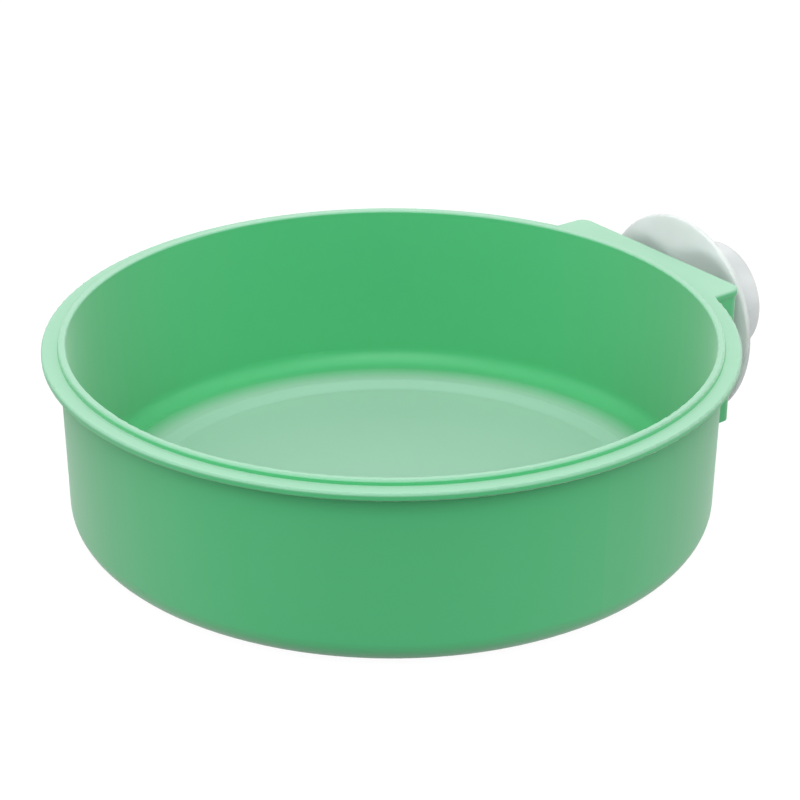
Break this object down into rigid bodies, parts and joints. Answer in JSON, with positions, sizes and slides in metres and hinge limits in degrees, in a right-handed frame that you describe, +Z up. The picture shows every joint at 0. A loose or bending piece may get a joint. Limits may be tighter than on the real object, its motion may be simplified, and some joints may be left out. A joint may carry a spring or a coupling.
{
  "type": "clamp-on pet bowl",
  "caption": "Round straight-sided plastic pet bowl with a flanged rim and a rear bracket, clamped to cage wires by a moulded nut with a flat disc and a lobed grip on a threaded stud.",
  "frame": {"origin": "centre of the flat foot disc, on the bowl's axis at the ground", "axes": "+Z up along the bowl's axis, +Y towards the bracket and its knob, +X to the right seen from the front"},
  "size_m": [0.16, 0.1775, 0.0527],
  "materials": {
    "green_plastic": "mint green moulded polypropylene, fine satin surface",
    "milky_plastic": "uncoloured milky translucent polypropylene, satin"
  },
  "bodies": {
    "bowl_body": {"bowl": "green_plastic"},
    "knob_body": {"knob": "milky_plastic"}
  },
  "joints": [
    {"name": "knob_turn", "type": "hinge", "parent": "bowl_body", "child": "knob_body", "pos_m": [0, 0.0927, 0.02645], "axis": [0, 1, 0], "range_deg": [-470, 520]}
  ]
}
